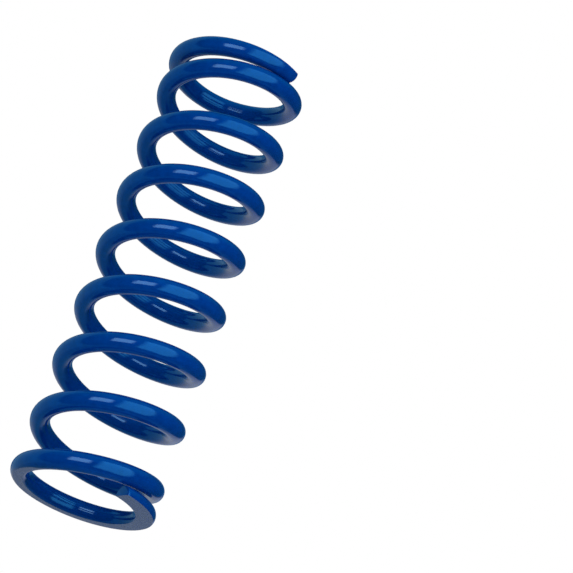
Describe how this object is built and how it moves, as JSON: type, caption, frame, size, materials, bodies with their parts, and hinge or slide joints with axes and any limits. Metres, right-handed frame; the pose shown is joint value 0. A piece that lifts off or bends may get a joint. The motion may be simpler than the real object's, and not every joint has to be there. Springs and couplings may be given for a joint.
{
  "type": "coilover spring",
  "caption": "Straight helical compression spring of round wire with closed, ground flat ends, for a shock absorber to pass through.",
  "frame": {"origin": "on the coil's axis, in the plane of the lower ground face", "axes": "+Z along the coil's axis, from the lower ground face to the upper one; the lower tip of the wire is 57 degrees from +X towards -Y"},
  "size_m": [0.1068, 0.1068, 0.3556],
  "materials": {
    "blue_coat": "gloss powder coat"
  },
  "bodies": {
    "root": {"coil_spring": "blue_coat"}
  },
  "joints": []
}
